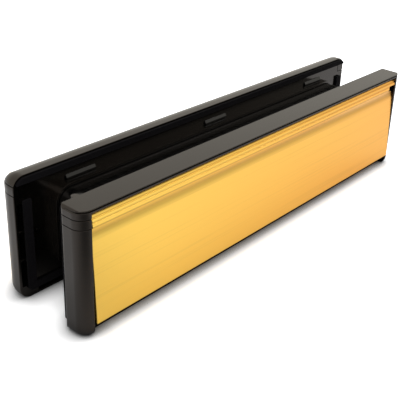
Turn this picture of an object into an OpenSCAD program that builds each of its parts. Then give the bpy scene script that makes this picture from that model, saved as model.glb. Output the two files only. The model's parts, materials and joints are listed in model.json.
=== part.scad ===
// Through-door letterplate: an outer and an inner frame, each with a sprung aluminium flap,
// joined by a telescopic sleeve. It is shown standing upright on its lower edge.
// X runs along the length, Y from outdoors (minus) to indoors (plus), Z is up.
// The origin is on the standing surface, under the middle of the whole part.

/* [Overall] */
// Length of both frames
frame_length = 305; // [285:1:330]
// Height of both frames
frame_height = 73; // [72:0.5:76]
// Distance between the two gasket faces: the thinnest door that it fits
door_gap = 31.1; // [28:0.5:42]

/* [Frames] */
// Depth of each frame from its front to its door face
frame_depth = 15.6; // [15:0.1:16.2]
// Width of the upright at each end
upright_w = 7.2; // [6.6:0.1:7.6]
// Thickness of the back web on the door side
web_t = 2.3; // [2:0.1:2.6]
// Height of the lower rail
sill_h = 7.2; // [5:0.1:7.2]
// Depth by which the outer lower rail stands back behind the flap
sill_setback = 5.5; // [4.5:0.1:7]
// Front corner radius of the outer frame, seen from above
outer_front_r = 7; // [3:0.5:7]
// Rear corner radius of the outer frame, seen from above
outer_rear_r = 3; // [1:0.5:4]
// Radius along the lower edges of the outer frame's uprights
foot_r = 5; // [2:0.5:5.5]
// Radius of the inner frame's four corners, seen from the door
inner_corner_r = 7; // [5:0.5:8]
// Radius of the inner frame's edges on the room side
inner_edge_r = 12; // [9:0.5:12]
// Open joint line between rail, hinge block and upright
seam = 0.3; // [0.2:0.05:0.4]

/* [Top rail] */
// Height of the rail at its ends and at the rear
rail_h = 4.9; // [4.4:0.1:5]
// Thickness of the rail over the flap
rail_t = 2.3; // [2:0.1:2.4]
// Height of each hinge block
block_h = 4.9; // [4.6:0.1:5.2]
// Height of the groove under the rail's top edge
rail_groove_h = 0.7; // [0.4:0.1:0.9]
// Depth of that groove
rail_groove_d = 0.8; // [0.4:0.1:1]
// Width of the chamfer along the rail's end
rail_chamfer = 1.5; // [0.5:0.1:2]
// Radius of the lug on the outer rail's rear edge
lug_r = 2.2; // [1.5:0.1:2.6]
// Distance of the lug from the rail's left end
lug_in = 10.7; // [9:0.1:14]

/* [Flap] */
// Distance of the hinge axis behind the frame's front
axis_depth = 5.4; // [5.3:0.05:5.8]
// Distance of the hinge axis below the frame's top
axis_drop = 7.8; // [7.75:0.05:8.2]
// Outer radius of the flap's rolled top edge
roll_r = 5.1; // [4.8:0.05:5.1]
// Wall of the rolled edge and of the band below it
roll_t = 1.6; // [1.3:0.1:1.8]
// Thickness of the flap plate
flap_t = 1.6; // [1.2:0.1:1.8]
// Gap between the flap's end and the upright
flap_end_gap = 0.3; // [0.2:0.1:0.8]
// Distance that the flap's lower edge stands in front of the frame
flap_proud = 1.2; // [0.6:0.1:1.6]
// Gap between the lower rail and the flap's lower edge
flap_foot_gap = 0.4; // [0.3:0.1:1.5]
// Depth of the lip along the flap's lower edge
lip_d = 4.4; // [2.5:0.1:4.8]
// Length of the notch at the flap's right end, under the band
notch_l = 7.6; // [5:0.1:10]
// Height of that notch
notch_h = 4.2; // [3.5:0.1:4.6]

/* [Hinge] */
// Radius of the hinge rod
rod_r = 1.5; // [1.2:0.1:1.7]
// Radial running clearance on the rod
rod_fit = 0.05; // [0.02:0.01:0.09]
// Depth of the rod's seat in each hinge block
rod_seat = 3.2; // [2.4:0.1:3.4]
// Wall of the tube that turns on the rod
knuckle_t = 1.45; // [1:0.05:1.6]
// Wire radius of the torsion springs
wire_r = 0.45; // [0.3:0.05:0.5]
// Number of turns of each spring
spring_turns = 9; // [5:1:12]
// Distance of each spring from the flap's end
spring_in = 50; // [45:1:70]

/* [Sleeve] */
// Distance from each end of the frame to the mail opening
opening_side = 26.6; // [26.2:0.1:34]
// Distance from the frame's upper and lower edges to the mail opening
opening_edge = 16.6; // [16.5:0.1:20]
// Corner radius of the mail opening
opening_r = 5; // [3:0.5:7]
// Wall of both sleeve halves
sleeve_t = 1.5; // [1.2:0.1:1.6]
// Sliding clearance between the sleeve halves
slide_fit = 0.3; // [0.2:0.05:0.4]
// Distance that the outer half reaches past the inner gasket's face
sleeve_reach = 7.5; // [3:0.5:9]
// Wall of the collar on each frame
collar_t = 1.6; // [1.2:0.1:1.8]
// Length of the collar beyond the gasket
collar_l = 3.8; // [2:0.1:4]
// Clearance between a sleeve half and its collar
collar_fit = 0.15; // [0.1:0.05:0.2]
// Width of each catch that holds the sleeve in its frame
catch_w = 20; // [12:0.5:26]
// Distance from the mail opening's end to the middle of the last catch
catch_in = 15.9; // [15:0.1:40]

/* [Seals] */
// Thickness of the outer frame's gasket
outer_gasket_t = 3; // [2.9:0.1:4]
// Thickness of the inner frame's gasket
inner_gasket_t = 1.6; // [1.4:0.1:2.5]
// Width of the outer gasket
outer_gasket_w = 5.6; // [4:0.1:6]
// Width of the inner gasket's legs
inner_gasket_w = 4.7; // [4:0.1:5]
// Height of the inner gasket's lower strip
inner_gasket_low_w = 3.6; // [3:0.1:3.7]
// Distance of the outer gasket from the outer frame's edge
outer_gasket_in = 3; // [2.6:0.1:3.6]
// Distance of the inner gasket from the inner frame's edge
inner_gasket_in = 4.8; // [4:0.1:4.9]
// Height at which the inner gasket's legs end
inner_gasket_top = 59; // [50:0.5:60]
// Height of the strip across the inner rail
strip_h = 3.4; // [3:0.1:3.5]
// Thickness of the seal behind each flap
seal_t = 1.2; // [0.8:0.1:1.5]
// Gap between the seal and the closed flap
seal_gap = 0.3; // [0.2:0.05:0.5]

/* [Fixings] */
// Distance from the mail opening's end to each fixing bolt
bolt_out = 14.1; // [13.6:0.1:14.3]
// Radius of the bolt bores in the inner frame
bolt_bore_r = 2.75; // [2.25:0.05:2.75]
// Outer radius of the threaded inserts
insert_r = 3.15; // [2.8:0.05:3.15]
// Radius of the inserts' tapping bore
tap_r = 2.1; // [1.6:0.05:2.2]
// Length of the inserts
insert_l = 7.5; // [5:0.5:8]

/* [Hidden] */

black = [0.11, 0.105, 0.1];
foam = [0.05, 0.05, 0.055];
gold = [0.86, 0.66, 0.3];
steel = [0.7, 0.71, 0.72];
brass = [0.75, 0.6, 0.3];

$fn = 48;
cut = 1;
half_l = frame_length / 2;
half_w = half_l - upright_w;
flap_half_l = half_w - flap_end_gap;
total_depth = 2 * (flap_proud + frame_depth) + outer_gasket_t + inner_gasket_t + door_gap;
outer_y = flap_proud - total_depth / 2;
inner_y = total_depth / 2 - flap_proud;

// Heights
rail_z = frame_height - rail_h;
block_top_z = rail_z - seam;
block_z = block_top_z - block_h;
upright_top_z = block_z - seam;
axis_z = frame_height - axis_drop;
mid_z = frame_height / 2;
opening_w = frame_length - 2 * opening_side;
opening_h = frame_height - 2 * opening_edge;
bolt_x = opening_w / 2 + bolt_out;
catch_x = opening_w / 2 - catch_in;
spring_x = flap_half_l - spring_in;
web_u = frame_depth - web_t;

// Sleeve sizes, from the clear opening outwards
small_w = opening_w + 2 * sleeve_t;
small_h = opening_h + 2 * sleeve_t;
small_r = opening_r + sleeve_t;
large_in_w = small_w + 2 * slide_fit;
large_in_h = small_h + 2 * slide_fit;
large_in_r = small_r + slide_fit;
large_w = large_in_w + 2 * sleeve_t;
large_h = large_in_h + 2 * sleeve_t;
large_r = large_in_r + sleeve_t;
flange_t = 1.4;
flange_gap = 0.1;
flange_w = 2.2;
catch_h = 1.8;
catch_gap = 0.15;
catch_end = 1.2;
catch_barb = 0.9;
catch_slot = 0.3;
sleeve_end_gap = 0.4;
outer_sleeve_l = outer_gasket_t + door_gap + sleeve_reach;
inner_sleeve_l = inner_gasket_t + door_gap - collar_l - sleeve_end_gap;

// Flap profile: u is the depth behind the frame's front, z the height
band_u = axis_depth - roll_r;
band_low_z = axis_z - 2.8;
cove_top_u = band_u + 0.2;
cove_mid_u = band_u + 1.35;
cove_mid_z = axis_z - 6;
plate_top_u = band_u + 0.9;
plate_top_z = axis_z - 10;
lip_t = 1.2;
flap_low_z = sill_h + flap_foot_gap;
plate_low_z = flap_low_z + lip_t / 2;
lean = (plate_top_u + flap_proud) / (plate_top_z - plate_low_z);
roll_end = 66;
knuckle_r = rod_r + rod_fit + knuckle_t;
groove_r = 0.3;
bead_r = 0.8;
notch_top_z = axis_z + 0.1;

// Hinge details
coil_r = rod_r + 0.3 + wire_r;
coil_pitch = 2 * wire_r + 0.05;
spring_l = (spring_turns - 1) * coil_pitch + 2 * wire_r;
window_l = spring_l + 5;
window_r = coil_r + wire_r + 0.7;
peg_r = 1.2;
peg_l = 2.4;
peg_fit = 0.15;
peg_end = 0.4;
peg_x = half_l - 3.6;
peg_u = 10.6;
bush_r = 2.25;
bush_gap = 0.6;
counterbore_gap = 0.3;
sill_ramp = 3.5;
rib_t = 1.5;
outer_boss_u = axis_depth + 0.2;
inner_boss_u = axis_depth + 2.6;
core_wall = 1.7;
outer_core_u = 4.5;
inner_core_u = 7.4;
core_low_z = sill_h + 0.8;
core_top_z = upright_top_z - 5.6;
core_rows = 3;
core_columns = 12;
core_half_l = half_w - 4.3;
leg_l = 4.6;
leg_tilt = 9;
boss_r = 4.1;
insert_fit = 0.03;
inner_nose_u = 5.8;
rail_groove_z = 0.5;
lug_h = 2.2;
lug_out = outer_gasket_t - lug_r - 0.1;
gasket_r = 2;
strip_in = 1;
strip_z = rail_z + 0.4;
plate_corner_r = 5;
upright_edge_r = 0.6;

// Depth of the flap's front and rear faces at a height
function plate_front(z) = plate_top_u - (plate_top_z - z) * lean;
function plate_back(z) = plate_front(z) + flap_t;

// Part of a quarter turn, taken out of a square corner to round it
module corner_bite(r) {
    difference() {
        translate([-cut, -cut]) square(r + cut);
        translate([r, r]) circle(r);
    }
}

// Rectangle from x0, y0 with two corner radii at its low side and two at its high side
module round_block(x0, y0, w, h, r_low, r_high) {
    difference() {
        translate([x0, y0]) square([w, h]);
        translate([x0, y0]) corner_bite(r_low);
        translate([x0 + w, y0]) mirror([1, 0]) corner_bite(r_low);
        translate([x0, y0 + h]) mirror([0, 1]) corner_bite(r_high);
        translate([x0 + w, y0 + h]) rotate(180) corner_bite(r_high);
    }
}

// Rounded rectangle centred on the mail opening
module opening_shape(w, h, r) {
    round_block(-w / 2, mid_z - h / 2, w, h, r, r);
}

// A sketch in depth and height, extruded along the length
module along_length(l) {
    rotate([90, 0, 90]) linear_extrude(l, center = true) children();
}

// A sketch in length and height, extruded from depth u0 to u1
module along_depth(u0, u1) {
    translate([0, u1, 0]) rotate([90, 0, 0]) linear_extrude(u1 - u0) children();
}

// Frame coordinates: depth counts from the frame's front towards the door
module at_outer() {
    translate([0, outer_y, 0]) children();
}

module at_inner() {
    translate([0, inner_y, 0]) mirror([0, 1, 0]) children();
}

module box_between(x0, x1, u0, u1, z0, z1) {
    translate([x0, u0, z0]) cube([x1 - x0, u1 - u0, z1 - z0]);
}

// Half section of a post whose lower end is rounded, for turning
module domed_half(r, h, edge_r) {
    difference() {
        square([r, h]);
        translate([r, 0]) mirror([1, 0]) corner_bite(edge_r);
    }
}

// Outer shape of each frame over a height range, with its vertical corners domed at the foot
module outer_body(z0, z1) {
    r = outer_front_r;
    intersection() {
        union() {
            for (x = [r - half_l, half_l - r])
                translate([x, r, 0]) rotate_extrude() domed_half(r, frame_height, foot_r);
            linear_extrude(frame_height) difference() {
                round_block(-half_l, 0, frame_length, frame_depth, outer_front_r, outer_rear_r);
                for (side = [0, 1]) mirror([side, 0]) translate([-half_l - cut, -cut]) square(r + cut);
            }
        }
        translate([-half_l, 0, z0]) cube([frame_length, frame_depth, z1 - z0]);
        along_depth(-cut, frame_depth + cut) difference() {
            translate([-half_l, 0]) square([frame_length, frame_height]);
            for (side = [0, 1]) mirror([side, 0]) translate([-half_l, 0]) corner_bite(foot_r);
        }
        along_length(frame_length + 2 * cut) difference() {
            square([frame_depth, frame_height]);
            corner_bite(foot_r);
        }
    }
}

module inner_body(z0, z1) {
    r = inner_corner_r;
    intersection() {
        translate([0, 0, z0]) linear_extrude(z1 - z0)
            round_block(-half_l, 0, frame_length, frame_depth, inner_edge_r, 0.5);
        union() {
            box_between(r - half_l, half_l - r, 0, frame_depth, 0, frame_height);
            box_between(-half_l, half_l, 0, frame_depth, r, frame_height - r);
            for (x = [r - half_l, half_l - r], z = [r, frame_height - r])
                translate([x, 0, z]) rotate([-90, 0, 0]) rotate_extrude()
                    domed_half(r, frame_depth, inner_edge_r);
        }
        along_length(frame_length + 2 * cut) difference() {
            square([frame_depth, frame_height]);
            corner_bite(inner_edge_r);
            translate([0, frame_height]) mirror([0, 1]) corner_bite(inner_edge_r);
        }
    }
}

module frame_body(inside, z0, z1) {
    if (inside) inner_body(z0, z1);
    else outer_body(z0, z1);
}

// Ends of a frame shape: everything outside the flap's bay
module ends_only() {
    difference() {
        children();
        box_between(-half_w, half_w, -cut, frame_depth + cut, -cut, frame_height + cut);
    }
}

// Uprights and hinge blocks have a rounded corner towards the flap
module round_inner_corners() {
    difference() {
        children();
        for (side = [0, 1]) mirror([side, 0, 0]) translate([half_w, 0, -cut])
            linear_extrude(frame_height + 2 * cut) corner_bite(upright_edge_r);
    }
}

module one_end(side) {
    intersection() {
        children();
        if (side < 0) box_between(-half_l - cut, -half_w, -cut, frame_depth + cut, -cut, frame_height + cut);
        else box_between(half_w, half_l + cut, -cut, frame_depth + cut, -cut, frame_height + cut);
    }
}

// Collar that stands out of the web and holds the sleeve half
module collar_shape(w, h, r, wall) {
    opening_shape(w + 2 * (collar_fit + wall), h + 2 * (collar_fit + wall), r + collar_fit + wall);
}

module catch_places() {
    for (x = [-catch_x, 0, catch_x], side = [0, 1])
        translate([x, 0, side * 2 * mid_z]) mirror([0, 0, side]) children();
}

// Moulded frame: uprights, lower rail, web, collar and bosses
module moulding(inside, w, h, r, gasket_t, bore_r, bore_l) {
    low = mid_z - h / 2 - collar_fit - collar_t;
    boss_u = inside ? inner_boss_u : outer_boss_u;
    difference() {
        union() {
            ends_only() round_inner_corners() frame_body(inside, 0, upright_top_z);
            intersection() {
                frame_body(inside, 0, frame_height);
                union() {
                    box_between(-half_w - cut, half_w + cut, web_u, frame_depth, 0, upright_top_z);
                    box_between(-half_w + seam, half_w - seam, web_u, frame_depth, 0, block_top_z);
                    along_length(2 * half_w + 2 * cut) polygon([[inside ? 0 : sill_setback, 0],
                        [frame_depth, 0], [frame_depth, sill_h + 2], [web_u, sill_h + 2],
                        [web_u - sill_ramp, sill_h], [inside ? 0 : sill_setback, sill_h]]);
                }
            }
            along_depth(web_u, frame_depth + gasket_t + collar_l) collar_shape(w, h, r, collar_t);
            for (side = [0, 1]) mirror([side, 0, 0]) {
                along_depth(boss_u, web_u + cut) translate([bolt_x, mid_z]) circle(boss_r);
                box_between(bolt_x, half_w + cut, boss_u + rib_t, web_u + cut,
                    mid_z - rib_t / 2, mid_z + rib_t / 2);
            }
        }
        along_depth(web_u - cut, frame_depth + gasket_t + collar_l + cut) collar_shape(w, h, r, 0);
        catch_places() box_between(-catch_w / 2 - catch_slot, catch_w / 2 + catch_slot, web_u - cut,
            frame_depth + cut, low - catch_gap - catch_h - catch_slot, low);
        for (x = [-bolt_x, bolt_x])
            along_depth(frame_depth - bore_l, frame_depth + cut) translate([x, mid_z]) circle(bore_r);
        for (x = [-1, 1] * peg_x)
            translate([x, peg_u, upright_top_z - peg_l]) cylinder(h = peg_l + cut, r = peg_r + peg_fit);
        core_pockets(inside ? inner_core_u : outer_core_u);
    }
}

// Pockets that core out the uprights and the lower rail from the door side, with ribs left between them
module core_pockets(front) {
    step_z = (core_top_z - core_low_z + rib_t) / core_rows;
    step_x = (2 * core_half_l + rib_t) / core_columns;
    for (side = [0, 1], row = [0 : core_rows - 1]) mirror([side, 0, 0])
        box_between(half_w + core_wall, half_l - core_wall, front, frame_depth + cut,
            core_low_z + row * step_z, core_low_z + row * step_z + step_z - rib_t);
    for (column = [0 : core_columns - 1])
        box_between(-core_half_l + column * step_x, -core_half_l + column * step_x + step_x - rib_t,
            web_u - sill_ramp, frame_depth + cut, core_wall, sill_h - core_wall);
}

// Top rail over a flap: end caps, roof with a beaded nose, rear wall and pegs
module rail(inside) {
    nose_u = inside ? inner_nose_u : 0;
    difference() {
        union() {
            ends_only() frame_body(inside, rail_z, frame_height);
            intersection() {
                frame_body(inside, rail_z, frame_height);
                along_length(2 * half_w + 2 * cut) union() {
                    translate([nose_u, frame_height - rail_t]) square([frame_depth - nose_u, rail_t]);
                    translate([web_u, rail_z]) square([web_t, rail_h]);
                }
            }
            for (x = [-1, 1] * peg_x)
                translate([x, peg_u, rail_z - seam - peg_l + peg_end]) cylinder(h = peg_l + seam, r = peg_r);
        }
        if (!inside) {
            rail_groove();
            for (side = [0, 1]) mirror([side, 0, 0]) end_chamfer();
        }
    }
}

// Groove under the top edge, along the front and round both ends
module rail_groove() {
    g = rail_groove_d;
    groove_z = frame_height - rail_groove_z - rail_groove_h;
    translate([0, 0, groove_z]) linear_extrude(rail_groove_h) difference() {
        translate([-half_l - cut, -cut]) square([frame_length + 2 * cut, frame_depth - outer_rear_r]);
        round_block(-half_l + g, g, frame_length - 2 * g, frame_depth, outer_front_r - g, outer_rear_r);
    }
}

// Sloping facet along the end's top edge
module end_chamfer() {
    c = rail_chamfer;
    translate([half_l, frame_depth / 2, frame_height]) rotate([0, 45, 0])
        cube([c * sqrt(2), frame_depth + 2 * cut, c * sqrt(2)], center = true);
}

// Small rounded lug on the rear edge of the outer rail
module rail_lug() {
    translate([-half_l + lug_in, 0, frame_height - lug_h]) linear_extrude(lug_h) union() {
        translate([0, frame_depth + lug_out]) circle(lug_r);
        translate([-lug_r, frame_depth - cut]) square([2 * lug_r, cut + lug_out]);
    }
}

// Hinge block at one end: the rod's blind seat, a peg below and a socket above.
// The block beside the flap's notch also carries a bush round the rod.
module hinge_block(inside, side) {
    bush_l = side == (inside ? -1 : 1) ? notch_l + flap_end_gap - bush_gap : 0;
    difference() {
        union() {
            one_end(side) round_inner_corners() frame_body(inside, block_z, block_top_z);
            if (bush_l > 0)
                translate([side * (half_w - bush_l), axis_depth, axis_z]) rotate([0, side * 90, 0])
                    cylinder(h = bush_l + cut, r = bush_r);
            translate([side * peg_x, peg_u, block_z - seam - peg_l + peg_end])
                cylinder(h = peg_l + seam, r = peg_r);
        }
        translate([side * (half_w - bush_l - cut), axis_depth, axis_z]) rotate([0, side * 90, 0])
            cylinder(h = bush_l + rod_seat + cut, r = rod_r + rod_fit);
        translate([side * peg_x, peg_u, block_top_z - peg_l]) cylinder(h = peg_l + cut, r = peg_r + peg_fit);
    }
}

module hinge_rod() {
    translate([0, axis_depth, axis_z]) rotate([0, 90, 0])
        cylinder(h = 2 * (half_w + rod_seat - 0.2), r = rod_r, center = true);
}

// Torsion spring: close-wound coil on the rod, one leg on the web and one on the flap
module torsion_spring() {
    first = -spring_l / 2 + wire_r;
    translate([spring_x, axis_depth, axis_z]) {
        rotate([0, 90, 0]) rotate_extrude() union() {
            for (i = [0 : spring_turns - 1])
                translate([coil_r, first + i * coil_pitch]) circle(wire_r, $fn = 16);
            translate([coil_r - wire_r / 2, first]) square([wire_r, (spring_turns - 1) * coil_pitch]);
        }
        translate([first, 0, -coil_r]) rotate([-90, 0, 0])
            cylinder(h = web_u - axis_depth - 0.2, r = wire_r, $fn = 16);
        rotate([leg_tilt, 0, 0]) translate([-first, -coil_r, -leg_l])
            cylinder(h = leg_l, r = wire_r, $fn = 16);
    }
}

// One sleeve half: tube cut parallel to the flap, with a flange and catches behind the web
module sleeve_half(w, h, r, l) {
    low = mid_z - h / 2 - collar_fit - collar_t;
    low_z = mid_z - h / 2 - 5;
    high_z = mid_z + h / 2 + 5;
    end_u = frame_depth + l;
    off = seal_gap + seal_t;
    intersection() {
        difference() {
            union() {
                along_depth(-5, end_u) opening_shape(w, h, r);
                along_depth(web_u - flange_gap - flange_t, web_u - flange_gap)
                    opening_shape(w + 2 * flange_w, h + 2 * flange_w, r + flange_w);
                catch_places() sleeve_catch(low);
            }
            along_depth(-5 - cut, end_u + cut)
                opening_shape(w - 2 * sleeve_t, h - 2 * sleeve_t, r - sleeve_t);
        }
        along_length(frame_length) polygon([[plate_back(low_z) + off, low_z], [end_u, low_z],
            [end_u, high_z], [plate_back(high_z) + off, high_z]]);
    }
}

// Catch that passes through the web and hooks over its door face
module sleeve_catch(low) {
    back = web_u - flange_gap - flange_t;
    top = low - catch_gap;
    along_length(catch_w) polygon([[back, top + 1.5], [back, top - catch_h],
        [frame_depth + 0.1, top - catch_h], [frame_depth + 0.1, top - catch_h - catch_barb],
        [frame_depth + catch_end, top - 0.9], [frame_depth + catch_end, top],
        [back + flange_t, top], [back + flange_t, top + 1.5]]);
}

// Foam strip on the sleeve's rim, against the closed flap
module flap_seal(w, h, r) {
    low_z = mid_z - h / 2 - 5;
    high_z = mid_z + h / 2 + 5;
    intersection() {
        along_depth(-5, 10) difference() {
            opening_shape(w, h, r);
            opening_shape(w - 2 * sleeve_t, h - 2 * sleeve_t, r - sleeve_t);
        }
        along_length(frame_length) polygon([[plate_back(low_z) + seal_gap, low_z],
            [plate_back(low_z) + seal_gap + seal_t, low_z],
            [plate_back(high_z) + seal_gap + seal_t, high_z],
            [plate_back(high_z) + seal_gap, high_z]]);
    }
}

// Frame outline drawn in by a distance
module inset_shape(g, r) {
    round_block(-half_l + g, g, frame_length - 2 * g, frame_height - 2 * g, r, r);
}

// Gasket ring against the door
module gasket_ring(g, w, low_w) {
    difference() {
        inset_shape(g, gasket_r);
        round_block(-half_l + g + w, g + low_w, frame_length - 2 * (g + w),
            frame_height - 2 * (g + low_w), 1, 1);
    }
}

// Extruded section of the flap
module flap_section() {
    blend = [for (i = [0 : 6]) let (t = i / 6)
        [(1 - t) * (1 - t) * cove_mid_u + 2 * t * (1 - t) * (cove_mid_u + 0.25) + t * t * plate_top_u,
            cove_mid_z + t * (plate_top_z - cove_mid_z)]];
    difference() {
        union() {
            intersection() {
                translate([axis_depth, axis_z]) difference() {
                    circle(roll_r);
                    circle(roll_r - roll_t);
                }
                translate([axis_depth, axis_z]) polygon([[-9, 0], [-9, 9],
                    [9 * cos(roll_end), 9 * sin(roll_end)], [0, 0]]);
            }
            translate([band_u, band_low_z]) square([roll_t, axis_z - band_low_z]);
            translate([band_u - 0.25 + bead_r, band_low_z + bead_r]) circle(bead_r);
            polygon(concat([[band_u + roll_t, band_low_z + 1], [cove_top_u, band_low_z + 0.2]], blend,
                [[plate_front(plate_low_z), plate_low_z], [plate_back(plate_low_z), plate_low_z],
                [plate_back(band_low_z - 1), band_low_z - 1]]));
            translate([plate_front(plate_low_z) + lip_t / 2, plate_low_z]) circle(lip_t / 2);
            translate([plate_front(plate_low_z) + lip_t / 2, flap_low_z]) square([lip_d - lip_t / 2, lip_t]);
            translate([axis_depth, axis_z]) circle(knuckle_r);
            translate([axis_depth, axis_z]) rotate(150) translate([0, -1])
                square([roll_r - roll_t / 2, 2]);
        }
        translate([axis_depth, axis_z]) circle(rod_r + rod_fit);
        translate([band_u, axis_z - 0.1]) circle(groove_r, $fn = 24);
        translate([axis_depth, axis_z]) rotate(180 - 26.5) translate([roll_r, 0]) circle(groove_r, $fn = 24);
    }
}

// Notch under the band at the flap's right end, with the plate's corner rounded below it
module end_notch() {
    end_r = notch_h / 2;
    corner_x = flap_half_l - plate_corner_r;
    corner_z = notch_top_z - notch_h - plate_corner_r;
    along_depth(-3, axis_depth - rod_r - 0.3) difference() {
        union() {
            translate([flap_half_l - notch_l + end_r, notch_top_z - end_r]) circle(end_r);
            translate([flap_half_l - notch_l + end_r, notch_top_z - notch_h]) square([notch_l, notch_h]);
            translate([corner_x, corner_z]) square([notch_l, notch_h + plate_corner_r]);
        }
        translate([corner_x, corner_z]) circle(plate_corner_r);
    }
}

// Flap: the extrusion with its end notch, room for the bush, and the windows for the springs
module flap() {
    difference() {
        along_length(2 * flap_half_l) flap_section();
        end_notch();
        translate([flap_half_l - notch_l, axis_depth, axis_z]) rotate([0, 90, 0])
            cylinder(h = notch_l + cut, r = roll_r - roll_t - counterbore_gap);
        for (x = [-1, 1] * spring_x)
            translate([x, axis_depth, axis_z]) rotate([0, 90, 0])
                cylinder(h = window_l, r = window_r, center = true);
    }
}

module outer_frame() {
    color(black) at_outer() moulding(false, small_w, small_h, small_r, outer_gasket_t,
        insert_r + insert_fit, insert_l + 0.5);
}

module outer_top_rail() {
    color(black) at_outer() {
        rail(false);
        rail_lug();
    }
}

module outer_hinge_block_left() {
    color(black) at_outer() hinge_block(false, -1);
}

module outer_hinge_block_right() {
    color(black) at_outer() hinge_block(false, 1);
}

module outer_hinge_rod() {
    color(steel) at_outer() hinge_rod();
}

module outer_spring_left() {
    color(steel) at_outer() mirror([1, 0, 0]) torsion_spring();
}

module outer_spring_right() {
    color(steel) at_outer() torsion_spring();
}

module outer_sleeve() {
    color(black) at_outer() sleeve_half(small_w, small_h, small_r, outer_sleeve_l);
}

module outer_flap_seal() {
    color(foam) at_outer() flap_seal(small_w, small_h, small_r);
}

module outer_door_gasket() {
    color(foam) at_outer() along_depth(frame_depth, frame_depth + outer_gasket_t)
        gasket_ring(outer_gasket_in, outer_gasket_w, outer_gasket_w);
}

module threaded_inserts() {
    color(brass) at_outer() for (x = [-bolt_x, bolt_x])
        along_depth(frame_depth - insert_l, frame_depth) translate([x, mid_z]) difference() {
            circle(insert_r);
            circle(tap_r);
        }
}

module outer_flap() {
    color(gold) at_outer() flap();
}

module inner_frame() {
    color(black) at_inner() moulding(true, large_w, large_h, large_r, inner_gasket_t,
        bolt_bore_r, frame_depth);
}

module inner_top_rail() {
    color(black) at_inner() rail(true);
}

module inner_hinge_block_left() {
    color(black) at_inner() hinge_block(true, -1);
}

module inner_hinge_block_right() {
    color(black) at_inner() hinge_block(true, 1);
}

module inner_hinge_rod() {
    color(steel) at_inner() hinge_rod();
}

module inner_spring_left() {
    color(steel) at_inner() mirror([1, 0, 0]) torsion_spring();
}

module inner_spring_right() {
    color(steel) at_inner() torsion_spring();
}

module inner_sleeve() {
    color(black) at_inner() sleeve_half(large_w, large_h, large_r, inner_sleeve_l);
}

module inner_flap_seal() {
    color(foam) at_inner() flap_seal(large_w, large_h, large_r);
}

module inner_door_gasket() {
    color(foam) at_inner() along_depth(frame_depth, frame_depth + inner_gasket_t) {
        intersection() {
            gasket_ring(inner_gasket_in, inner_gasket_w, inner_gasket_low_w);
            translate([-half_l, 0]) square([frame_length, inner_gasket_top]);
        }
        intersection() {
            inset_shape(strip_in, inner_corner_r - strip_in);
            translate([-half_l, strip_z]) square([frame_length, strip_h]);
        }
    }
}

module inner_flap() {
    color(gold) at_inner() mirror([1, 0, 0]) flap();
}

outer_frame();
outer_top_rail();
outer_hinge_block_left();
outer_hinge_block_right();
outer_hinge_rod();
outer_spring_left();
outer_spring_right();
outer_sleeve();
outer_flap_seal();
outer_door_gasket();
threaded_inserts();
outer_flap();
inner_frame();
inner_top_rail();
inner_hinge_block_left();
inner_hinge_block_right();
inner_hinge_rod();
inner_spring_left();
inner_spring_right();
inner_sleeve();
inner_flap_seal();
inner_door_gasket();
inner_flap();
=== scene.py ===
# %% [markdown]
# # A through-door letterplate
# The letterplate is two black moulded frames, one for each face of the door, joined by a sleeve that
# slides in itself like a telescope. Each frame carries a gold flap on a sprung rod. The solid model
# holds every size already, so this lesson adds what a solid model lacks: softened edges, wound
# springs, and a finish for each material.

# %% Load the solids
import json
import math

import bmesh
import bpy
from mathutils import Matrix, Vector


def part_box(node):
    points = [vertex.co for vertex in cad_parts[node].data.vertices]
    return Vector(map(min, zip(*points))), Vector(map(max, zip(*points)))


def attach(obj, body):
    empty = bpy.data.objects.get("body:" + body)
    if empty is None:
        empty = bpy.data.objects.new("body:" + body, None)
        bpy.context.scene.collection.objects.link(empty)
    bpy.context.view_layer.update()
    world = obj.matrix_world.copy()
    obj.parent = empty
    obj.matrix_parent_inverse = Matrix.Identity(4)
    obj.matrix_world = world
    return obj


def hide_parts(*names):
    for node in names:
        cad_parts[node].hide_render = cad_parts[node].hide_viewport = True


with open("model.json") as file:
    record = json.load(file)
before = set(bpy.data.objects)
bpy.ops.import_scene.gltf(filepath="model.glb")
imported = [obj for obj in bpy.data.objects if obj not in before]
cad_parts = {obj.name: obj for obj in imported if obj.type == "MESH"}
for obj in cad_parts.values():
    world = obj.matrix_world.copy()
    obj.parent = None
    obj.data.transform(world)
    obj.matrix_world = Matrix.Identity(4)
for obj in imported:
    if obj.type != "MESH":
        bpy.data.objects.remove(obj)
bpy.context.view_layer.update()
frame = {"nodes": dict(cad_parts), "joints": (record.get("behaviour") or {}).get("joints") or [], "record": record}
MM = 0.001

# %% [markdown]
# ## The camera
# The letterplate is looked at from its left front corner, a little from above, and from close by, so
# the near end looks much taller than the far one. A camera needs a place, a direction, a slight
# roll, and a focal length. The small shift moves the picture without turning the camera, which keeps
# the uprights as steep as they are.

# %% Camera
CAMERA_PLACE = Vector((-0.348966, -0.279987, 0.24992))
CAMERA_AZIMUTH = math.radians(-53.684)
CAMERA_ELEVATION = math.radians(24.655)
CAMERA_ROLL = math.radians(4.164)
SENSOR_WIDTH = 36
LENS = 68.743
SHIFT = (-0.16013, -0.11353)


def camera_turn():
    """The camera's axes as a matrix, worked out from azimuth, elevation and roll."""
    level = math.cos(CAMERA_ELEVATION)
    back = Vector((math.sin(CAMERA_AZIMUTH) * level, -math.cos(CAMERA_AZIMUTH) * level,
                   math.sin(CAMERA_ELEVATION)))
    right = (-back).cross(Vector((0, 0, 1))).normalized()
    up = back.cross(right)
    turn = Matrix((right, up, back)).transposed()
    return turn @ Matrix.Rotation(CAMERA_ROLL, 3, "Z")


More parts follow.
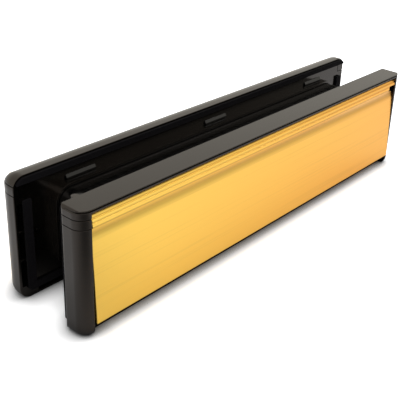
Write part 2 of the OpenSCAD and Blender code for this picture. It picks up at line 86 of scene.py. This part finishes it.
camera_data = bpy.data.cameras.new("camera")
camera_data.sensor_width = SENSOR_WIDTH
camera_data.lens = LENS
camera_data.shift_x, camera_data.shift_y = SHIFT
camera_data.clip_start = 0.01
camera_data.clip_end = 20
camera = bpy.data.objects.new("camera", camera_data)
camera.matrix_world = Matrix.Translation(CAMERA_PLACE) @ camera_turn().to_4x4()
bpy.context.scene.collection.objects.link(camera)
bpy.context.scene.camera = camera
bpy.context.scene.view_settings.view_transform = "Standard"
print("camera looks along", [round(v, 3) for v in -camera_turn().col[2]])

# %% [markdown]
# ## Node helpers
# A finish is a small network of nodes. These helpers keep the cells short: each one adds a node or
# two, links them, and gives back the socket that the next step needs. Each finish reads Object
# coordinates. Every finished piece sits at the origin with its place in its mesh, so the pattern
# stays on the piece when a flap swings.


# %% Helpers for finishes
def add_node(tree, kind, **inputs):
    """Adds a node and sets the named inputs; a name in lower case sets a property instead."""
    made = tree.nodes.new(kind)
    for name, value in inputs.items():
        if name[0].islower():
            setattr(made, name, value)
        else:
            made.inputs[name.replace("_", " ")].default_value = value
    return made


def new_finish(name, color, roughness, metallic=0.0, specular=0.5):
    """A material with its plain values on the shader's own sockets."""
    material = bpy.data.materials.new(name)
    material.use_nodes = True
    tree = material.node_tree
    shader = tree.nodes["Principled BSDF"]
    shader.inputs["Base Color"].default_value = (*color, 1)
    shader.inputs["Roughness"].default_value = roughness
    shader.inputs["Metallic"].default_value = metallic
    shader.inputs["Specular IOR Level"].default_value = specular
    place = add_node(tree, "ShaderNodeTexCoord")
    return material, tree, shader, place.outputs["Object"]


def stretch(tree, place, scale):
    """The object coordinates, stretched by a Mapping node."""
    mapping = add_node(tree, "ShaderNodeMapping")
    mapping.inputs["Scale"].default_value = scale
    tree.links.new(place, mapping.inputs["Vector"])
    return mapping.outputs["Vector"]


def noise(tree, place, scale, detail=3.0, rough=0.55):
    """A noise pattern of about 1/scale metres."""
    made = add_node(tree, "ShaderNodeTexNoise", Scale=scale, Detail=detail, Roughness=rough)
    tree.links.new(place, made.inputs["Vector"])
    return made.outputs["Fac"]


def ramp(tree, value, low, high, from_low=0.3, from_high=0.7):
    """Turns a 0 to 1 pattern into values from low to high."""
    made = add_node(tree, "ShaderNodeMapRange", From_Min=from_low, From_Max=from_high,
                    To_Min=low, To_Max=high)
    tree.links.new(value, made.inputs["Value"])
    return made.outputs["Result"]


def tint(tree, value, dark, light):
    """Mixes two colours by a 0 to 1 pattern."""
    made = add_node(tree, "ShaderNodeMix", data_type="RGBA")
    first, second = [socket for socket in made.inputs if socket.type == "RGBA"]
    first.default_value = (*dark, 1)
    second.default_value = (*light, 1)
    tree.links.new(value, made.inputs["Factor"])
    return next(socket for socket in made.outputs if socket.type == "RGBA")


def combine(tree, operation, *values):
    """A Math node, where each value is a socket or a plain number."""
    made = add_node(tree, "ShaderNodeMath", operation=operation)
    for socket, value in zip(made.inputs, values):
        if isinstance(value, (int, float)):
            socket.default_value = value
        else:
            tree.links.new(value, socket)
    return made.outputs[0]


FINE_BUMP = 0.01 * MM


def bump(tree, height, depth, strength=1.0, under=None):
    """A bump of the given depth in metres."""
    made = add_node(tree, "ShaderNodeBump", Strength=strength, Distance=depth)
    tree.links.new(height, made.inputs["Height"])
    if under is not None:
        tree.links.new(under, made.inputs["Normal"])
    return made.outputs["Normal"]


# %% [markdown]
# ## Black plastic
# The frames are injection moulded, and their mould was spark eroded, which leaves a fine, dull grain
# of about a fifth of a millimetre. The black isn't neutral: it leans to brown where the light is
# strong. Faint clouds in colour and roughness stand for handling and for how the plastic flowed.


# %% Finish of the frames
def moulded_black():
    """Eroded black plastic, which reflects a little brown."""
    material, tree, shader, place = new_finish("moulded_black", (0.002, 0.0018, 0.0015), 0.15,
                                               specular=0.45)
    shader.inputs["Specular Tint"].default_value = (1.0, 0.86, 0.76, 1)
    clouds = noise(tree, place, 45, 4)
    grain = noise(tree, place, 3800, 2, 0.6)
    fine = noise(tree, place, 900, 3)
    color = tint(tree, ramp(tree, clouds, 0, 1), (0.0013, 0.0012, 0.0010), (0.0026, 0.0023, 0.0019))
    tree.links.new(color, shader.inputs["Base Color"])
    tree.links.new(ramp(tree, clouds, 0.12, 0.18), shader.inputs["Roughness"])
    coarse = bump(tree, fine, FINE_BUMP, 0.25)
    tree.links.new(bump(tree, grain, FINE_BUMP, 0.4, coarse), shader.inputs["Normal"])
    return material


black_plastic = moulded_black()
print("made", black_plastic.name)

# %% [markdown]
# ## Sleeve plastic
# The sleeve is moulded in a polished mould, so it is smoother than the frames. It shows faint flow
# lines along the way that it slides.


# %% Finish of the sleeve
def sleeve_black():
    """Polished black plastic with flow lines along Y."""
    material, tree, shader, place = new_finish("sleeve_black", (0.0015, 0.0015, 0.0015), 0.15,
                                               specular=0.4)
    flow = noise(tree, stretch(tree, place, (400, 18, 400)), 1, 4)
    color = tint(tree, ramp(tree, flow, 0, 1), (0.0010, 0.0010, 0.0010), (0.0020, 0.0020, 0.0020))
    tree.links.new(color, shader.inputs["Base Color"])
    tree.links.new(ramp(tree, flow, 0.12, 0.18), shader.inputs["Roughness"])
    tree.links.new(bump(tree, flow, FINE_BUMP, 0.3), shader.inputs["Normal"])
    return material


sleeve_plastic = sleeve_black()
print("made", sleeve_plastic.name)

# %% [markdown]
# ## Foam and rubber
# The gaskets are cut from closed-cell foam, so their cut faces show tiny bubbles. A Voronoi pattern
# makes cells, and its distance value makes each one a small pit, with painted shade that darkens it
# towards its bottom. The flap seal is a denser rubber with only a soft unevenness.


# %% Finishes of the seals
def gasket_foam():
    """Cut foam with a small pit at each bubble, and painted shade in each pit."""
    material, tree, shader, place = new_finish("gasket_foam", (0.0045, 0.0042, 0.0048), 0.9,
                                               specular=0.05)
    cells = add_node(tree, "ShaderNodeTexVoronoi", Scale=2200)
    tree.links.new(place, cells.inputs["Vector"])
    bubbles = cells.outputs["Distance"]
    # Painted shade: the colour darkens towards the bottom of each pit.
    color = tint(tree, ramp(tree, bubbles, 0, 1, 0.1, 0.7),
                 (0.0030, 0.0028, 0.0033), (0.0060, 0.0055, 0.0065))
    tree.links.new(color, shader.inputs["Base Color"])
    tree.links.new(ramp(tree, noise(tree, place, 300), 0.78, 0.92), shader.inputs["Roughness"])
    tree.links.new(bump(tree, bubbles, 0.12 * MM, 0.7), shader.inputs["Normal"])
    return material


def seal_rubber():
    """Soft rubber, a little uneven."""
    material, tree, shader, place = new_finish("seal_rubber", (0.005, 0.005, 0.005), 0.6, specular=0.3)
    skin = noise(tree, place, 700, 4)
    color = tint(tree, ramp(tree, skin, 0, 1), (0.0035, 0.0035, 0.0035), (0.0068, 0.0068, 0.0068))
    tree.links.new(color, shader.inputs["Base Color"])
    tree.links.new(ramp(tree, skin, 0.52, 0.68), shader.inputs["Roughness"])
    tree.links.new(bump(tree, skin, 0.05 * MM, 0.6), shader.inputs["Normal"])
    return material


foam = gasket_foam()
rubber = seal_rubber()
print("made", foam.name, rubber.name)

# %% [markdown]
# ## Gold anodised aluminium
# The flap is an extruded profile. The die leaves fine lines along its whole length, the profile is
# then satin etched, and gold dye is sealed in the oxide. So the finish is a metal with a warm colour,
# thin lines along X, a soft etched grain, and very slight bands where the die lines lie closer. Long
# marks run with the die. Two kinds of painted shade come on top: the colour turns darker and redder
# towards the right end, where the light falls off, and shade is painted into the three fine grooves
# and the hollow under the roll, each given as height, half width and lowest brightness.


# %% Finish of the flaps
# Painted shade in the grooves and in the hollow under the roll: height, half width, lowest brightness.
PAINTED_GROOVE_SHADE = ((0.0678, 0.0009, 0.76), (0.06555, 0.0009, 0.8),
           (0.0627, 0.0009, 0.76), (0.0579, 0.0037, 0.62))
# Painted shade: the gold turns darker and redder from the left end to the right, where the light falls off.
GOLD_LEFT = (0.985, 0.665, 0.135)
GOLD_RIGHT_PAINTED_SHADE = (0.985, 0.492, 0.096)
PAINTED_SHADE_REACH = 0.15


def anodised_gold():
    """Satin gold metal with die lines along X, and painted shade in the grooves and towards the right end."""
    material, tree, shader, place = new_finish("anodised_gold", (0.98, 0.6, 0.14), 0.3, metallic=1.0)
    die_lines = noise(tree, stretch(tree, place, (6, 2600, 2600)), 1, 3, 0.6)
    bands = noise(tree, stretch(tree, place, (1.5, 170, 170)), 1, 2)
    etch = noise(tree, place, 5200, 2, 0.7)
    along = add_node(tree, "ShaderNodeSeparateXYZ")
    tree.links.new(place, along.inputs["Vector"])
    # Painted shade: darker and redder towards the right end.
    color = tint(tree, ramp(tree, along.outputs["X"], 0, 1, -PAINTED_SHADE_REACH, PAINTED_SHADE_REACH), GOLD_LEFT, GOLD_RIGHT_PAINTED_SHADE)
    marks = noise(tree, stretch(tree, place, (4, 0, 520)), 1, 4, 0.7)
    shade = ramp(tree, marks, 0.93, 1.0, 0.36, 0.48)
    # Painted shade: each groove and the hollow under the roll is darkened.
    for height, reach, depth in PAINTED_GROOVE_SHADE:
        distance = combine(tree, "ABSOLUTE", combine(tree, "SUBTRACT", along.outputs["Z"], height))
        shade = combine(tree, "MULTIPLY", shade, ramp(tree, distance, depth, 1.0, 0.2 * reach, reach))
    shaded = add_node(tree, "ShaderNodeVectorMath", operation="SCALE")
    tree.links.new(color, shaded.inputs[0])
    tree.links.new(shade, shaded.inputs["Scale"])
    tree.links.new(shaded.outputs[0], shader.inputs["Base Color"])
    tree.links.new(ramp(tree, bands, 0.28, 0.32), shader.inputs["Roughness"])
    lines = bump(tree, die_lines, FINE_BUMP, 0.25)
    tree.links.new(bump(tree, etch, FINE_BUMP, 0.5, lines), shader.inputs["Normal"])
    return material


gold = anodised_gold()
print("made", gold.name)

# %% [markdown]
# ## Steel and brass
# The hinge rods are bright drawn steel, with scratches along the rod. The springs are drawn wire. The
# inserts are turned brass, with rings from the tool.


# %% Finishes of the metal fittings
def bright_metal(name, color, roughness, stretched):
    """A metal with scratches that run the way the stretch leaves longest."""
    material, tree, shader, place = new_finish(name, color, roughness, metallic=1.0)
    scratches = noise(tree, stretch(tree, place, stretched), 1, 4, 0.65)
    darker = tuple(0.8 * part for part in color)
    tree.links.new(tint(tree, ramp(tree, scratches, 0, 1), darker, color), shader.inputs["Base Color"])
    tree.links.new(ramp(tree, scratches, roughness - 0.06, roughness + 0.1), shader.inputs["Roughness"])
    tree.links.new(bump(tree, scratches, FINE_BUMP, 0.5), shader.inputs["Normal"])
    return material


drawn_steel = bright_metal("drawn_steel", (0.60, 0.60, 0.61), 0.28, (12, 3000, 3000))
spring_wire = bright_metal("spring_wire", (0.52, 0.52, 0.54), 0.32, (900, 900, 900))
turned_brass = bright_metal("turned_brass", (0.75, 0.55, 0.22), 0.3, (500, 4000, 500))
print("made", drawn_steel.name, spring_wire.name, turned_brass.name)

# %% [markdown]
# ## Finishes on the solids
# The record names a material slot for each solid. One table turns a slot into a finish, so a part that
# is added later needs only its slot. The rods, seals, gaskets and inserts keep their solid meshes.

# %% Give each solid its finish
FINISH_OF_SLOT = {
    "frame_plastic": black_plastic,
    "sleeve_plastic": sleeve_plastic,
    "seal_rubber": rubber,
    "gasket_foam": foam,
    "gold_anodised": gold,
    "steel": drawn_steel,
    "spring_steel": spring_wire,
    "brass": turned_brass,
}
SLOT_OF_NODE = {part["node"]: part["material_slot"] for part in frame["record"]["subparts"]}
BODIES = frame["record"]["behaviour"]["bodies"]
BODY_OF_NODE = {node: body for body, nodes in BODIES.items() for node in nodes}
for node_name, node_object in frame["nodes"].items():
    node_object.data.materials.clear()
    node_object.data.materials.append(FINISH_OF_SLOT[SLOT_OF_NODE[node_name]])
print("finished", len(SLOT_OF_NODE), "solids")

# %% [markdown]
# ## Softened edges
# A solid model has edges of no width, and real mouldings have none of those. Each copy below is
# merged, its flat triangles are joined into whole faces, hollow outlines are split until no face turns
# inwards, and the outer edges are rounded by a fraction of a millimetre. Without the split, the bevel
# spans a hollow outline with a false skin. The copy then stands in for the solid. The volume may
# hardly change, and the cell prints by how much it did.


# %% A rounded copy of a solid
SAME_POINT = 0.001 * MM
FLAT = math.radians(0.05)
ROUNDED_FROM = math.radians(25)
CREASED_FROM = math.radians(35)


def softened(node_name, width):
    """Shows a copy of a solid with its convex edges rounded, and hides the solid."""
    shape = bmesh.new()
    shape.from_mesh(frame["nodes"][node_name].data)
    bmesh.ops.remove_doubles(shape, verts=shape.verts[:], dist=SAME_POINT)
    before = shape.calc_volume()
    bmesh.ops.dissolve_limit(shape, angle_limit=FLAT, verts=shape.verts[:], edges=shape.edges[:])
    bmesh.ops.connect_verts_concave(shape, faces=shape.faces[:])
    outer = [edge for edge in shape.edges
             if edge.is_manifold and edge.is_convex and edge.calc_face_angle(0) > ROUNDED_FROM]
    bmesh.ops.bevel(shape, geom=outer, affect="EDGES", offset=width, offset_type="OFFSET",
                    segments=2, profile=0.5, material=-1, clamp_overlap=False)
    for face in shape.faces:
        face.smooth = True
    for edge in shape.edges:
        edge.smooth = edge.calc_face_angle(0) < CREASED_FROM
    after = shape.calc_volume()
    mesh = bpy.data.meshes.new(node_name + "_soft")
    shape.to_mesh(mesh)
    shape.free()
    piece = bpy.data.objects.new(node_name + "_soft", mesh)
    bpy.context.scene.collection.objects.link(piece)
    mesh.materials.append(FINISH_OF_SLOT[SLOT_OF_NODE[node_name]])
    even = piece.modifiers.new("even_faces", "WEIGHTED_NORMAL")
    even.keep_sharp = True
    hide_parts(node_name)
    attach(piece, BODY_OF_NODE[node_name])
    change = 100 * (after / before - 1)
    print(f"{node_name}: {len(outer)} edges, {len(mesh.polygons)} faces, volume {change:+.2f} %")


# %% Round the mouldings and the flaps
ROUNDING = {"frame": 0.35 * MM, "top_rail": 0.3 * MM, "flap": 0.2 * MM, "sleeve": 0.2 * MM,
            "hinge_block_left": 0.2 * MM, "hinge_block_right": 0.2 * MM}
for part_name, width in ROUNDING.items():
    for side in ("outer", "inner"):
        softened(f"{side}_{part_name}", width)

# %% [markdown]
# ## Wound springs
# In the solid model each torsion spring is a stack of rings. Here a straight leg leaves the frame, and
# its end is then spun seven times round the hinge rod while it moves along it, which winds a true
# helix. The last turn is a piece of its own, since it swings with the flap: most of a loop round the
# rod, and a short leg that bends down behind the roll. There is a hair's gap between the two, so the
# last turn slides beside the coil without touching it, though the real wire runs on from one to the
# other. All four springs are one shape, mirrored left to right and front to back.


# %% Sizes of a spring
WIRE_RADIUS = 0.45 * MM
COIL_RADIUS = 2.25 * MM
COIL_PITCH = 0.95 * MM
COIL_TURNS = 8
STEPS_IN_TURN = 24
FRAME_LEG = 7.7 * MM
BEND_RADIUS = 0.8 * MM
FLAP_LEG = 1.2 * MM
LOOP = math.radians(295)
LOOP_STEPS = 20
BEND = math.radians(90)
BEND_STEPS = 8
WIRE_SIDES = 12
print("coil", round(COIL_TURNS * COIL_PITCH / MM, 2), "mm long")


# %% Helpers for bent wire
def wire_end(shape, place):
    """The edges of a ring with its normal along Y, which is where a wire starts."""
    turn = Matrix.Translation(place) @ Matrix.Rotation(math.pi / 2, 4, "X")
    ring = bmesh.ops.create_circle(shape, cap_ends=False, segments=WIRE_SIDES, radius=WIRE_RADIUS,
                                   matrix=turn)["verts"]
    return list({edge for vert in ring for edge in vert.link_edges})


def pulled(shape, edges, way):
    """Draws a wire's open end out along way, and returns its new end."""
    made = bmesh.ops.extrude_edge_only(shape, edges=edges)["geom"]
    verts = [item for item in made if isinstance(item, bmesh.types.BMVert)]
    bmesh.ops.translate(shape, verts=verts, vec=way)
    return [item for item in made if isinstance(item, bmesh.types.BMEdge) and item.is_boundary]


def turned(shape, edges, centre, angle, steps, along=(0, 0, 0)):
    """Turns a wire's open end round the X axis through centre, and returns its new end."""
    verts = list({vert for edge in edges for vert in edge.verts})
    made = bmesh.ops.spin(shape, geom=verts + edges, cent=centre, axis=(1, 0, 0), dvec=along,
                          angle=angle, steps=steps, use_merge=False, use_duplicate=False)["geom_last"]
    return [item for item in made if isinstance(item, bmesh.types.BMEdge)]


def finish_wire(shape, name, hinge, mirror, body):
    """Caps a wire, moves it to its spring, and lets it ride on a body."""
    bmesh.ops.holes_fill(shape, edges=[edge for edge in shape.edges if edge.is_boundary], sides=0)
    to_place = Matrix.Translation(hinge) @ Matrix.Diagonal((*mirror, 1))
    bmesh.ops.transform(shape, matrix=to_place, verts=shape.verts[:])
    bmesh.ops.recalc_face_normals(shape, faces=shape.faces[:])
    for face in shape.faces:
        face.smooth = len(face.verts) == 4
    mesh = bpy.data.meshes.new(name)
    shape.to_mesh(mesh)
    shape.free()
    piece = bpy.data.objects.new(name, mesh)
    bpy.context.scene.collection.objects.link(piece)
    mesh.materials.append(spring_wire)
    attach(piece, body)
    return piece


def wound_coil(first):
    """The frame's leg and the turns that stay with the frame."""
    coil = bmesh.new()
    turns = COIL_TURNS - 1
    edges = wire_end(coil, (first, FRAME_LEG, -COIL_RADIUS))
    edges = pulled(coil, edges, (0, -FRAME_LEG, 0))
    turned(coil, edges, (0, 0, 0), -2 * math.pi * turns, turns * STEPS_IN_TURN,
           (COIL_PITCH / STEPS_IN_TURN, 0, 0))
    return coil


def flap_leg(last):
    """The loop that swings with the flap, and its bent leg."""
    leg = bmesh.new()
    edges = wire_end(leg, (last, 0, -COIL_RADIUS))
    turned(leg, edges, (0, 0, 0), LOOP, LOOP_STEPS)
    bend_place = -COIL_RADIUS + BEND_RADIUS
    edges = pulled(leg, edges, (0, bend_place, 0))
    edges = turned(leg, edges, (0, bend_place, -COIL_RADIUS - BEND_RADIUS), BEND, BEND_STEPS)
    pulled(leg, edges, (0, 0, -FLAP_LEG))
    return leg


# %% Wind the four springs
for joint in frame["joints"]:
    if joint["child"] not in ("outer_flap", "inner_flap"):
        continue
    side = joint["child"].split("_")[0]
    for end, sign in (("left", -1), ("right", 1)):
        node_name = f"{side}_spring_{end}"
        low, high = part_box(node_name)
        hinge = Vector(((low.x + high.x) / 2, joint["pos_m"][1], joint["pos_m"][2]))
        mirror = (sign, 1 if side == "outer" else -1, 1)
        first = -COIL_TURNS * COIL_PITCH / 2
        piece = finish_wire(wound_coil(first), f"{side}_coil_{end}", hinge, mirror,
                            BODY_OF_NODE[node_name])
        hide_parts(node_name)
        finish_wire(flap_leg(-first), f"{side}_flap_leg_{end}", hinge, mirror, joint["child"])
        print(node_name, "wound at", [round(v, 4) for v in hinge])

# %% [markdown]
# ## The table
# The letterplate stands on a white table. The floor is a plain disc, so there is nothing to see of it
# but the shadow that the object throws.

# %% Floor disc
FLOOR_RADIUS = 3.0
floor_mesh = bpy.data.meshes.new("floor")
shape = bmesh.new()
bmesh.ops.create_circle(shape, cap_ends=True, segments=64, radius=FLOOR_RADIUS)
shape.to_mesh(floor_mesh)
shape.free()
floor = bpy.data.objects.new("floor", floor_mesh)
bpy.context.scene.collection.objects.link(floor)
print("floor radius", FLOOR_RADIUS)

# %% [markdown]
# ## Paint of the table
# The paint is matt. A Light Path node gives it three strengths: one for light that bounces, one for
# reflections, and a higher one for the camera, so that the open table is white. In reflections alone
# there is also a soft dark spot of painted shade at the left front, which stands in for a darker room
# on that side, and a wide ambient occlusion that darkens the table round the object's foot. A narrow
# ambient occlusion, in every view, draws the line where the object touches the table.

# %% Paint
FLOOR_PAINT = 0.8
FLOOR_IN_MIRRORS = 1.12
FLOOR_IN_VIEW = 2.2
SHADED_SPOT = (-0.2, -0.16, 0)
SPOT_CORE = 0.02
SPOT_REACH = 0.17
SPOT_SHADE = 0.25
FOOT_REACH = 0.07
FOOT_POWER = 0.6
CONTACT_REACH = 0.012
CONTACT_POWER = 1.5

floor_finish = bpy.data.materials.new("white_table")
floor_finish.use_nodes = True
floor_tree = floor_finish.node_tree
floor_tree.nodes.clear()
floor_path = add_node(floor_tree, "ShaderNodeLightPath")
floor_shade = FLOOR_PAINT
for ray, strength in (("Is Camera Ray", FLOOR_IN_VIEW), ("Is Glossy Ray", FLOOR_IN_MIRRORS)):
    floor_shade = combine(floor_tree, "MULTIPLY_ADD", floor_path.outputs[ray],
                          strength - FLOOR_PAINT, floor_shade)


def occlusion(reach, power):
    """How open the table is within reach, as a power of it."""
    near = add_node(floor_tree, "ShaderNodeAmbientOcclusion", Distance=reach)
    return combine(floor_tree, "POWER", near.outputs["AO"], power)


floor_place = add_node(floor_tree, "ShaderNodeTexCoord")
# Painted shade: a soft dark spot on the table at the left front, seen only in reflections.
from_spot = add_node(floor_tree, "ShaderNodeVectorMath", operation="DISTANCE")
floor_tree.links.new(floor_place.outputs["Object"], from_spot.inputs[0])
from_spot.inputs[1].default_value = SHADED_SPOT
spot = add_node(floor_tree, "ShaderNodeMapRange", interpolation_type="SMOOTHSTEP",
                From_Min=SPOT_CORE, From_Max=SPOT_REACH, To_Min=SPOT_SHADE, To_Max=1)
floor_tree.links.new(from_spot.outputs["Value"], spot.inputs["Value"])
not_reflected = combine(floor_tree, "SUBTRACT", 1, floor_path.outputs["Is Glossy Ray"])
for shade in (spot.outputs["Result"], occlusion(FOOT_REACH, FOOT_POWER)):
    in_mirrors = combine(floor_tree, "MAXIMUM", shade, not_reflected)
    floor_shade = combine(floor_tree, "MULTIPLY", floor_shade, in_mirrors)
floor_shade = combine(floor_tree, "MULTIPLY", floor_shade, occlusion(CONTACT_REACH, CONTACT_POWER))

paint = add_node(floor_tree, "ShaderNodeBsdfDiffuse")
floor_tree.links.new(floor_shade, paint.inputs["Color"])
floor_output = add_node(floor_tree, "ShaderNodeOutputMaterial")
floor_tree.links.new(paint.outputs[0], floor_output.inputs["Surface"])
floor_mesh.materials.append(floor_finish)
print("painted", floor.name, "with", len(floor_tree.nodes), "nodes")

# %% [markdown]
# ## The room
# The room is a white world. It lights the object with less than the white that it shows, so that the
# shadows stay. In reflections it is slightly warm, which takes the cold out of the black.

# %% World
WORLD_LIGHT = 0.6
ROOM_IN_MIRRORS = (1.0, 0.96, 0.86)

world = bpy.data.worlds.new("studio")
bpy.context.scene.world = world
world.use_nodes = True
world_tree = world.node_tree
world_tree.nodes.clear()
world_path = add_node(world_tree, "ShaderNodeLightPath")
fill_light = add_node(world_tree, "ShaderNodeBackground", Color=(1, 1, 1, 1), Strength=WORLD_LIGHT)
white = add_node(world_tree, "ShaderNodeBackground", Color=(1, 1, 1, 1), Strength=1.0)
warm_white = add_node(world_tree, "ShaderNodeBackground", Color=(*ROOM_IN_MIRRORS, 1), Strength=1.0)


def mixed(amount, first, second):
    """The second shader where amount is 1, and the first where it is 0."""
    mix = add_node(world_tree, "ShaderNodeMixShader")
    for socket, source in zip(mix.inputs, (amount, first, second)):
        world_tree.links.new(source, socket)
    return mix.outputs[0]


room = mixed(world_path.outputs["Is Glossy Ray"], white.outputs[0], warm_white.outputs[0])
looked_at = combine(world_tree, "MAXIMUM", world_path.outputs["Is Camera Ray"],
                    world_path.outputs["Is Glossy Ray"])
looked_at = combine(world_tree, "MAXIMUM", looked_at, world_path.outputs["Is Transmission Ray"])
world_output = add_node(world_tree, "ShaderNodeOutputWorld")
world_tree.links.new(mixed(looked_at, fill_light.outputs[0], room), world_output.inputs["Surface"])
print("world", world.name)

# %% [markdown]
# ## Lamps
# One large soft lamp shines from the left front and above, and a weaker one from the right.


# %% Lamps
def area_lamp(name, place, size, watts):
    """A square soft lamp at place that faces the letterplate."""
    data = bpy.data.lights.new(name, "AREA")
    data.size = size
    data.energy = watts
    lamp = bpy.data.objects.new(name, data)
    lamp.location = place
    lamp.rotation_mode = "QUATERNION"
    lamp.rotation_quaternion = (LAMP_TARGET - Vector(place)).to_track_quat("-Z", "Y")
    bpy.context.scene.collection.objects.link(lamp)


LAMP_TARGET = Vector((0, 0, 0.03))
area_lamp("key", (-0.9, -1.1, 1.3), 0.9, 10)
area_lamp("side", (1.0, -0.35, 1.3), 0.5, 5)
